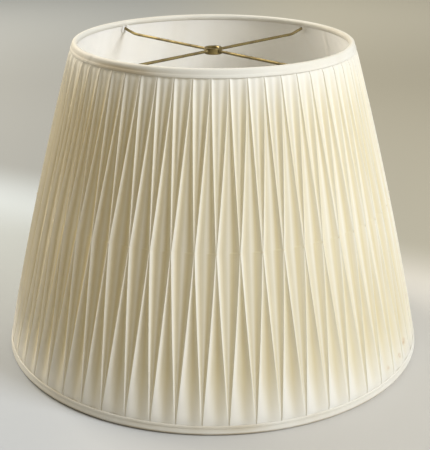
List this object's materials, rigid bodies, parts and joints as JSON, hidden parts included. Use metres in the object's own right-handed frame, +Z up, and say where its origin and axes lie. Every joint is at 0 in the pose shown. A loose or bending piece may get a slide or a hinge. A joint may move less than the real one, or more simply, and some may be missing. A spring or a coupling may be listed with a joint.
{
  "type": "lamp shade",
  "caption": "Empire lamp shade with a pinched box-pleated silk cover, bias-bound edges, a cloth lining and a spider fitter with a washer hub.",
  "frame": {"origin": "on the table under the middle of the bottom edge", "axes": "+Z up along the shade's axis; the spider's arms lie at 45 degrees to X and Y"},
  "size_m": [0.4571, 0.4571, 0.3321],
  "materials": {
    "pleated_silk": "pleated cream silk",
    "bias_trim": "cream bias-cut silk",
    "lining_cloth": "smooth off-white lining",
    "cotton_tape": "woven cotton tape",
    "thread": "sewing thread",
    "aged_brass": "aged satin brass",
    "frame_wire": "white-coated steel wire"
  },
  "bodies": {
    "root": {"arm_gusset_1": "lining_cloth", "arm_gusset_2": "lining_cloth", "arm_gusset_3": "lining_cloth", "arm_gusset_4": "lining_cloth", "bottom_ring": "frame_wire", "bottom_ring_tape": "cotton_tape", "bottom_trim": "bias_trim", "lining": "lining_cloth", "pinch_stitches": "thread", "pleated_cover": "pleated_silk", "spider_arm_1": "aged_brass", "spider_arm_2": "aged_brass", "spider_arm_3": "aged_brass", "spider_arm_4": "aged_brass", "spider_hub": "aged_brass", "strut_1": "frame_wire", "strut_2": "frame_wire", "strut_3": "frame_wire", "strut_4": "frame_wire", "strut_5": "frame_wire", "strut_6": "frame_wire", "strut_7": "frame_wire", "strut_8": "frame_wire", "top_ring": "frame_wire", "top_ring_tape": "cotton_tape", "top_trim": "bias_trim"}
  },
  "joints": []
}
